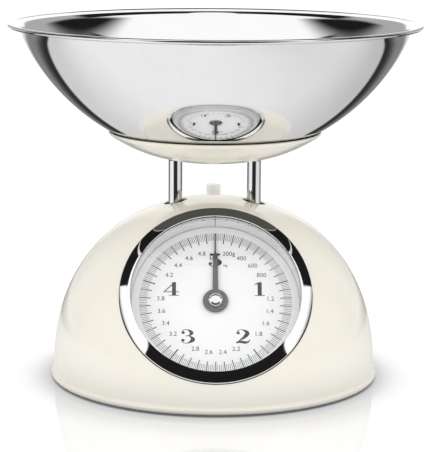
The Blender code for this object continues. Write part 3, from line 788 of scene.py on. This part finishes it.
def label(text, x, y, height):
    """A small label in Blender's own font, centred on a point of the dial."""
    size_for_height, merge = 1.38, 0.001
    curve = bpy.data.curves.new("label", "FONT")
    curve.body = text
    curve.size = height * size_for_height * MM
    curve.align_x = curve.align_y = "CENTER"
    curve.resolution_u = 3
    curve.extrude = (INK[1] - INK[0]) / 2 * MM
    writing = linked("label", curve)
    bpy.context.view_layer.update()
    mesh = bpy.data.meshes.new_from_object(writing.evaluated_get(bpy.context.evaluated_depsgraph_get()))
    bpy.data.objects.remove(writing)
    shape = bmesh.new()
    shape.from_mesh(mesh)
    bmesh.ops.remove_doubles(shape, verts=shape.verts, dist=merge * MM)
    bmesh.ops.dissolve_degenerate(shape, edges=shape.edges, dist=merge * MM)
    mesh = mesh_of("label", shape)
    place = Vector((x, y, FACE_FRONT + sum(INK) / 2)) * MM
    mesh.transform(DIAL @ Matrix.Translation(place))
    return linked("label", mesh)


def dial_print():
    """Numerals for each kilogram, labels every 200 g, and ticks every 20 g."""
    numeral_r, numeral_w, numeral_h, label_r, label_h = 28.5, 10.5, 9.4, 33.7, 2.95
    full_grams, step_grams = 5000, 20
    per_gram = 360 / full_grams
    for i, digit in enumerate("51234"):
        x, y = at_turn(1000 * i * per_gram, numeral_r)
        outlines = []
        for shape in numeral(digit):
            outlines.append([(x + (a - 0.49) * numeral_w, y + (b - 0.5) * numeral_h) for a, b in shape])
        strokes = [printed("stroke", outline, layer) for layer, outline in enumerate(outlines)]
        put(merged(f"numeral_{digit}", strokes), "dial_ink", "base")
    marks = []
    for grams in range(200, full_grams, 200):
        if grams % 1000 == 0:
            continue
        text = {200: "200g"}.get(grams, str(grams) if grams < 1000 else f"{grams / 1000:.1f}")
        marks.append(label(text, *at_turn(grams * per_gram, label_r), label_h))
    marks.append(label("kg", 6.2, numeral_r - 3.7, 2.0))
    put(merged("dial_labels", marks), "dial_ink", "base")
    long_ticks, short_ticks = [], []
    for grams in range(0, full_grams, step_grams):
        degrees = grams * per_gram
        if grams % 1000 == 0:
            long_ticks.append(tick(degrees, 38.9, 0.75))
        elif grams % 100 == 0:
            long_ticks.append(tick(degrees, 39.8, 0.55))
        else:
            short_ticks.append(tick(degrees, 41.9, 0.27))
    put(merged("dial_ticks", long_ticks), "dial_ink", "base")
    put(merged("dial_fine_ticks", short_ticks), "dial_ink_grey", "base")


def pointer():
    """The hand: a ring round the cap, a bar across it that the shaft goes through, and a tapered blade."""
    low, high = extent("pointer", DIAL)
    front, back = high[2], low[2]
    hub_r, bore, shaft_r = high[0], 4.9, 1.6
    corners = [
        (bore, back, 0.1), (hub_r - 0.8, back, 0.2), (hub_r, back + 0.75, 0.3), (hub_r, front - 0.5, 0.3),
        (hub_r - 0.8, front, 0.3), (bore, front, 0.15),
    ]
    hub = turned("pointer_hand", rounded(corners, 4), DIAL, sides=64)
    needle_r = high[1]
    corners = [
        (-1.75, 6.0, 0), (1.75, 6.0, 0), (1.45, 31.0, 1.0), (0.45, 33.5, 0.6), (0.4, needle_r, 0.3),
        (-0.4, needle_r, 0.3), (-0.45, 33.5, 0.6), (-1.45, 31.0, 1.0),
    ]
    blade = slab("blade", rounded(corners, 3), back + 0.2, back + 1.0, DIAL)
    web = slab("web", bar(-2.0, 2.0, -6.2, 6.2), back + 0.1, back + 1.1, DIAL)
    combine(hub, "UNION", [blade, web])
    combine(hub, "DIFFERENCE", [slab("bore", circle(shaft_r, sides=24), back - 0.9, front + 1.4, DIAL)])
    put(hub, "pointer_black", "pointer", "pointer")


def pointer_cap():
    cap_r, foot, top = round_size("pointer_cap", DIAL)
    wall, steps, squareness = 1.1, 12, 5
    dome = []
    for i in range(steps + 1):
        share = math.cos(math.pi / 2 * i / steps) if i < steps else 0.0
        rise = (top - foot - wall) * math.sqrt(1 - share ** squareness)
        dome.append((cap_r * share, foot + wall + rise))
    cap = turned("pointer_button", [(0, foot), (cap_r, foot)] + dome, DIAL, sides=64)
    put(cap, "chrome", "pointer", "pointer_cap")


# ---- platform and bowl

TRAY_R, TRAY_BOTTOM_Z, TRAY_TOP_Z = round_size("tray")
TRAY_RISE = 18.0
TRAY_POWER = 2.6  # how flat the tray stays before it rises to its rim
TRAY_T = 1.0


def tray_under(radius):
    return TRAY_BOTTOM_Z + TRAY_RISE * (radius / TRAY_R) ** TRAY_POWER


def tray():
    """The dish that carries the bowl, screwed to the two posts."""
    rows, top, inner_r = 40, TRAY_TOP_Z, TRAY_R - 1.75
    radii = [(TRAY_R - 0.8) * i / rows for i in range(rows + 1)]
    under = [(r, tray_under(r), 0) for r in radii]
    rim = [(TRAY_R, tray_under(TRAY_R) + 0.3, 0.4), (TRAY_R, top, 0.7), (inner_r, top, 0.5)]
    over = [(r, tray_under(r) + TRAY_T, 0) for r in radii[::-1]]
    over[0] = (inner_r, over[0][1], 0.2)
    dish = turned("tray_dish", rounded(under + rim + over, 4), sides=128)
    hole = circle(1.9, sides=24)
    low, high = TRAY_BOTTOM_Z - 9, TRAY_BOTTOM_Z + 11
    holes = [slab("tray_hole", hole, low, high, axis_frame(f"post_{side}")) for side in SIDES]
    combine(dish, "DIFFERENCE", holes)
    put(dish, "cream_enamel", "platform", "tray")


BOWL_R, BOWL_BOTTOM_Z, BOWL_TOP_Z = round_size("bowl")
BEAD_R = 1.3
WALL_TOP_Z = BOWL_TOP_Z - 2.6
WALL_R = 122.3
WALL_DEPTH = 81.4
WALL_POWERS = (1.33, 2.227)  # of the depth and of the radius in the wall's rounded profile
BOWL_T = 0.8


def wall_radius(z):
    share = (WALL_TOP_Z - z) / WALL_DEPTH
    return WALL_R * (1 - share ** WALL_POWERS[0]) ** (1 / WALL_POWERS[1])


def bowl_wall(inset, rows, corner):
    """The wall from the lip down to its flat floor, inset from the outer face, with a rounded edge."""
    top, floor, near = WALL_TOP_Z - 1.2, BOWL_BOTTOM_Z + inset, 0.1
    points = []
    for i in range(rows + 1):
        z = top + (floor - top) * math.sin(math.pi / 2 * i / rows)
        slope = (wall_radius(z + near) - wall_radius(z - near)) / (2 * near)
        points.append((wall_radius(z) - inset * math.hypot(1, slope), z, 0))
    keep = [p for p in points[:-1] if p[1] > floor + 1.4]
    return keep + [(points[-1][0], floor, corner), (points[-1][0] - 14, floor, 0), (0, floor, 0)]


def bowl():
    """The pressed bowl, with a rolled bead at the edge of its lip."""
    outer = bowl_wall(0.0, 64, 6.0)
    inner = bowl_wall(BOWL_T, 64, 6.0 - BOWL_T)
    centre_r, centre_z = BOWL_R - BEAD_R, BOWL_TOP_Z - BEAD_R
    bead = []
    bead_steps, bead_start, bead_sweep = 16, -115, 265
    for i in range(bead_steps + 1):
        angle = math.radians(bead_start + bead_sweep * i / bead_steps)
        bead.append((centre_r + BEAD_R * math.cos(angle), centre_z + BEAD_R * math.sin(angle), 0))
    under_lip = [(WALL_R + 1.2, WALL_TOP_Z - 0.2, 0.9)]
    over_lip = [(WALL_R + 0.8, WALL_TOP_Z + 0.75, 0.8)]
    corners = inner[::-1] + over_lip + bead[::-1] + under_lip + outer
    put(turned("mixing_bowl", rounded(corners, 4), sides=192), "polished_steel", "bowl", "bowl")


def post(side):
    """A rod, threaded at its lower end and bored at its upper one."""
    node = f"post_{side}"
    radius, bottom, top = round_size(node)
    shoulder = extent("crosshead")[1][2] + 0.3
    stud, bore_r, pitch = 2.9, 1.9, 0.8
    screwed = thread(stud - 0.3, stud, bottom + pitch, shoulder - 1, pitch)
    corners = [(0, bottom, 0), (stud - 0.6, bottom, 0.1)] + screwed + [
        (stud, shoulder, 0), (radius, shoulder, 0.4), (radius, top, 0.5), (bore_r, top, 0.1),
        (bore_r, top - 9, 0), (0, top - 9.5, 0),
    ]
    rod = turned(f"load_post_{side}", rounded(corners, 4), axis_frame(node), sides=64)
    put(rod, "chrome", "platform", node)


def post_bush(side):
    """The sleeve that guides a post through the dome."""
    node = f"post_bush_{side}"
    flange_r, bottom, top = round_size(node)
    bore_r, sleeve_r, flange_top = 4.75, 6.9, bottom + 1.7
    corners = [
        (bore_r, bottom, 0.3), (flange_r, bottom, 0.3), (flange_r, flange_top, 0.3),
        (sleeve_r, flange_top, 0.3), (sleeve_r, top, 0.5), (bore_r, top, 0.6),
    ]
    bush = turned(f"bush_{side}", rounded(corners, 4), axis_frame(node), sides=48)
    put(bush, "black_plastic", "base", node)


def zero_knob():
    """The ribbed knob that sets the pointer to zero, bored for its screw."""
    radius, bottom, top = round_size("zero_knob")
    bore_r, bore_end, rib_count, rib_depth = 2.2, bottom + 5, 20, 0.035
    corners = [
        (bore_r, bottom, 0.2), (radius, bottom, 0.4), (radius, top - 0.9, 0.3), (radius - 0.7, top, 0.4),
        (0, top, 0), (0, bore_end, 0), (bore_r, bore_end, 0),
    ]

    def ribs(angle, radius_here):
        depth = rib_depth if radius_here > radius - 0.3 else 0
        return 1 - depth * (0.5 + 0.5 * math.cos(rib_count * angle))

    piece = turned("zero_dial", rounded(corners, 4), axis_frame("zero_knob"), sides=160, wave=ribs)
    put(piece, "white_plastic", "zero_adjuster", "zero_knob")


def spring_hook(radius, start, end):
    """A bend from the side of the coil to its axis, as points."""
    steps = 8
    points = []
    for k in range(1, steps + 1):
        turn = math.pi / 2 * k / steps
        points.append((radius * (1 - math.sin(turn)), 0, start + (end - start) * (1 - math.cos(turn))))
    return points


def springs():
    """Two coil springs that run from the fixed hanger to the platform's crosshead, on no body."""
    for side in SIDES:
        node = f"main_spring_{side}"
        radius, low, high = round_size(node)
        wire, turns, steps, hook_room = 0.75, 13, 20, 3.2
        mean_r, bottom, top = radius - wire, low + hook_room, high - hook_room
        turning = []
        for i in range(turns * steps + 1):
            angle = FULL * i / steps
            z = bottom + (top - bottom) * i / turns / steps
            turning.append((mean_r * math.cos(angle), mean_r * math.sin(angle), z))
        lower, upper = spring_hook(mean_r, bottom, low - 1.5), spring_hook(mean_r, top, high + 1.0)
        coil = tube(f"coil_spring_{side}", lower[::-1] + turning + upper, wire, axis_frame(node))
        put(coil, "spring_steel", None, node)
        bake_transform(coil)


# ---- CAD nodes that keep their shape

KEPT = {
    "zinc_steel": (
        "chassis", "carrier", "carrier_pin_upper", "carrier_pin_lower", "movement_plate", "pointer_shaft",
        "post_nut_left", "post_nut_right", "spring_hanger", "upper_lever", "lower_lever", "upper_lever_pin",
        "lower_lever_pin", "zero_screw",
    ),
    "brass": ("front_bush", "rear_bush", "rack", "pinion"),
    "aluminium": ("crosshead",),
}


def kept_nodes():
    for name, nodes in KEPT.items():
        for node in nodes:
            mesh = frame["nodes"][node].data
            mesh.materials.clear()
            mesh.materials.append(FINISHES[name])


# ---- studio

CAMERA_TURN = Matrix.Rotation(math.radians(-0.95), 4, "Z")  # the dial is seen slightly from its left
CAMERA_PLACE = CAMERA_TURN @ Vector((0.0, -1.17082, 0.3165))
CAMERA_PITCH = 10.641  # degrees down from level
CAMERA_ROLL = 0.35
CARD_LIGHT = 1.14  # of the white panels and cards that polished metal mirrors


def camera():
    """A long lens in front of the scale and a little above it."""
    data = bpy.data.cameras.new("camera")
    data.lens = 148.25
    data.shift_x = 0.0113
    data.clip_end = 20
    made = linked("camera", data)
    down = Matrix.Rotation(math.radians(90 - CAMERA_PITCH), 4, "X")
    roll = Matrix.Rotation(math.radians(CAMERA_ROLL), 4, "Z")
    made.matrix_world = Matrix.Translation(CAMERA_PLACE) @ CAMERA_TURN @ down @ roll
    bpy.context.scene.camera = made


def studio_panels(graph, direction):
    """The brightness that polished metal mirrors: black and white panels around the dial's axis.

    x and y are the slopes, across and up the dial, of a mirror that shows this direction from the front.
    """
    right, up, out = (Vector(DIAL.col[i][:3]) for i in range(3))
    front = (DIAL.translation - CAMERA_PLACE).normalized()
    tilt = graph.vector("SUBTRACT", direction, front)
    depth = graph.math("MAXIMUM", graph.dot(tilt, out), 0.001)
    x = graph.math("ABSOLUTE", graph.math("DIVIDE", graph.dot(tilt, right), depth))
    y = graph.math("DIVIDE", graph.dot(tilt, up), depth)
    softness = 0.006

    def above(slope, offset=0.0, sign=1.0):
        edge = graph.math("ADD", graph.math("MULTIPLY", x, slope), offset)
        past = graph.math("SUBTRACT", graph.math("MULTIPLY", y, sign), edge)
        return graph.ramp(past, -softness, softness)

    white, pale = (CARD_LIGHT, CARD_LIGHT, CARD_LIGHT, 1), (0.46, 0.46, 0.46, 1)
    black, grey = (0.012, 0.012, 0.013, 1), (0.075, 0.072, 0.062, 1)
    colour = graph.mix(above(0.08), white, black)
    colour = graph.mix(above(1.235), colour, grey)
    colour = graph.mix(above(1.013, -0.036, -1.0), colour, black)
    reach = graph.length(x, y)
    colour = graph.mix(graph.ramp(reach, 0.095, 0.115), white, colour)
    aside = graph.ramp(graph.math("ABSOLUTE", graph.dot(direction, (1, 0, 0))), 0.18, 0.32)
    behind = graph.math("MULTIPLY", graph.ramp(graph.dot(direction, (0, 1, 0)), -0.1, 0.3), aside)
    outside = graph.mix(behind, white, pale)
    colour = graph.mix(graph.ramp(reach, 0.64, 0.76), colour, outside)
    sideways = graph.math("ABSOLUTE", graph.dot(direction, right))
    return graph.mix(graph.ramp(sideways, 0.71, 0.88), colour, black)


def world():
    """A white tent, brighter above, whose panels show only in mirrors, and a plain white background."""
    made = bpy.data.worlds.new("studio")
    bpy.context.scene.world = made
    graph = bare_graph(made)
    direction = graph.node("TexCoord").outputs["Generated"]
    path = graph.node("LightPath")
    separate = graph.node("SeparateXYZ")
    graph.put(separate.inputs[0], direction)
    side_light, top_light = (1.0, 1.0, 1.0, 1), (1.30, 1.30, 1.30, 1)
    soft = graph.mix(graph.ramp(separate.outputs["Z"], -0.2, 0.9), side_light, top_light)
    colour = graph.mix(path.outputs["Is Glossy Ray"], soft, studio_panels(graph, direction))
    colour = graph.mix(path.outputs["Is Camera Ray"], colour, side_light)
    background = graph.node("Background")
    graph.put(background.inputs["Color"], colour)
    graph.show(background.outputs[0], "OutputWorld")


def table_glow(graph, x, y, reach):
    """The light that the table glows with in place of sending light back: even for all but mirrors, with
    painted shade under the scale.

    Mirrors see it painted bright round the scale, dark behind an edge at its back and bright again further
    on, and dark in a wedge in front,
    where the room is: painted light and shade in place of reflections. Places and distances are in metres.
    """
    forward = graph.math("MULTIPLY", y, -1.0)
    back = graph.ramp(y, 0.22, 0.26)
    far = graph.math("ADD", graph.ramp(y, 0.28, 0.55, 0.03, 0.24), graph.ramp(y, 0.75, 1.35, 0.0, 0.55))
    across = graph.ramp(x, -0.05, 0.3, 1.0, 0.84)
    near = graph.math("MULTIPLY", graph.ramp(y, -0.13, 0.18, 0.975, 0.70), across)
    bright = graph.between(back, near, far)
    front = graph.ramp(forward, 0.43, 0.50)
    spread = graph.math("DIVIDE", graph.math("ABSOLUTE", x), graph.math("MAXIMUM", forward, 0.01))
    shut = graph.math("SUBTRACT", 0.975, graph.ramp(spread, 0.42, 0.88))
    opening = graph.math("SUBTRACT", 1.0, graph.math("MULTIPLY", front, shut), clamp=True)
    mirrored = graph.math("MULTIPLY", bright, opening)
    # painted shade: the glow that lights the scale from below dims under and round its foot
    painted_shade_glow = graph.ramp(reach, 0.104, 0.142, 0.06, 1.07)
    glossy = graph.node("LightPath").outputs["Is Glossy Ray"]
    return graph.between(glossy, painted_shade_glow, mirrored)


def table_seen(graph, reach):
    """What the eye sees: a glowing white table, darker where the scale stands by painted shadow from ambient
    occlusion, with a faint reflection round its foot.
    """
    # painted shadow: the table's glow dims with ambient occlusion near the scale
    contact = graph.node("AmbientOcclusion", samples=12)
    contact.inputs["Distance"].default_value = 0.045
    glow_with_painted_shadow = graph.glow(graph.ramp(contact.outputs["AO"], 0.0, 1.2, 0.1, 1.14))
    mirror = graph.node("BsdfGlossy")
    mirror.inputs["Color"].default_value = (1, 1, 1, 1)
    mirror.inputs["Roughness"].default_value = 0.06
    share = graph.math("MULTIPLY", graph.ramp(reach, 0.104, 0.122), graph.ramp(reach, 0.20, 0.34, 0.3, 0.0))
    return graph.blend(share, glow_with_painted_shadow, mirror.outputs[0])


def card(name, corners):
    """A flat staged piece through its corners, in mm, with an empty material."""
    shape = bmesh.new()
    shape.faces.new([shape.verts.new(corner) for corner in corners])
    made = from_bmesh(name, shape)
    material = bpy.data.materials.new(name)
    made.data.materials.append(material)
    return made, bare_graph(material)


def floor():
    """A glossy white table."""
    size = 6000
    table, graph = card("table", [(x, y, 0) for x, y in bar(-size, size, -size, size)])
    separate = graph.node("SeparateXYZ")
    graph.put(separate.inputs[0], graph.node("TexCoord").outputs["Object"])
    x, y = separate.outputs["X"], separate.outputs["Y"]
    reach = graph.length(x, y)
    eye = graph.node("LightPath").outputs["Is Camera Ray"]
    graph.show(graph.blend(eye, graph.glow(table_glow(graph, x, y, reach)), table_seen(graph, reach)))


def mirrored_only(thing):
    """Hides a thing from the camera, diffuse light, shadows and transmission, so that it shows in mirrors
    alone.
    """
    for ray in ("camera", "diffuse", "shadow", "transmission"):
        setattr(thing, "visible_" + ray, False)


def dark_underside(name, body, profile, colour):
    """A thin glowing sheet of painted shade, turned about Z through (radius, height) points, dark from below
    and clear from above.

    It goes along with the body whose underside it darkens.
    """
    shade = turned(name, profile, closed=False)
    if shade.data.polygons[0].normal.z > 0:
        shade.data.flip_normals()
    material = bpy.data.materials.new(name)
    graph = bare_graph(material)
    from_above = graph.node("NewGeometry").outputs["Backfacing"]
    clear = graph.node("BsdfTransparent").outputs[0]
    # painted shade: a dark glow that mirrors see from below, in place of the underside's real shade
    graph.show(graph.blend(from_above, graph.glow(colour=(*colour, 1)), clear))
    shade.data.materials.append(material)
    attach(shade, body)
    mirrored_only(shade)


def shades():
    """Painted shade that the top of the dial ring mirrors: dark glowing sheets in place of the unlit
    undersides of the tray and the bowl.
    """
    tray_rows, tray_start, tray_gap, tray_shade_colour = 12, 6, 0.8, (0.085, 0.082, 0.070)
    radii = [tray_start + (TRAY_R - 1 - tray_start) * i / tray_rows for i in range(tray_rows + 1)]
    dark_underside("tray_shade", "platform", [(r, tray_under(r) - tray_gap) for r in radii], tray_shade_colour)
    bowl_rows, bowl_start, bowl_rise, bowl_gap, bowl_shade_colour = 20, 152, 70, 1.0, (0.012, 0.012, 0.013)
    heights = [bowl_start + bowl_rise * i / bowl_rows for i in range(bowl_rows + 1)]
    dark_underside("bowl_shade", "bowl", [(wall_radius(z) + bowl_gap, z) for z in heights], bowl_shade_colour)


def reflector():
    """A white card above the dial's view that the inside of the bowl mirrors."""
    half, low, high, y = 270, 380, 740, -230
    made, graph = card("reflector", [(x, y, z) for x, z in bar(-half, half, low, high)])
    graph.show(graph.glow(CARD_LIGHT))
    mirrored_only(made)


housing()
base()
feet()
screws()
bezel()
dial_drum()
dial_liner()
dial_face()
lens()
dial_print()
pointer()
pointer_cap()
tray()
bowl()
for side in SIDES:
    post(side)
    post_bush(side)
zero_knob()
springs()
kept_nodes()
camera()
world()
floor()
reflector()
shades()
bpy.context.scene.view_settings.view_transform = "Standard"
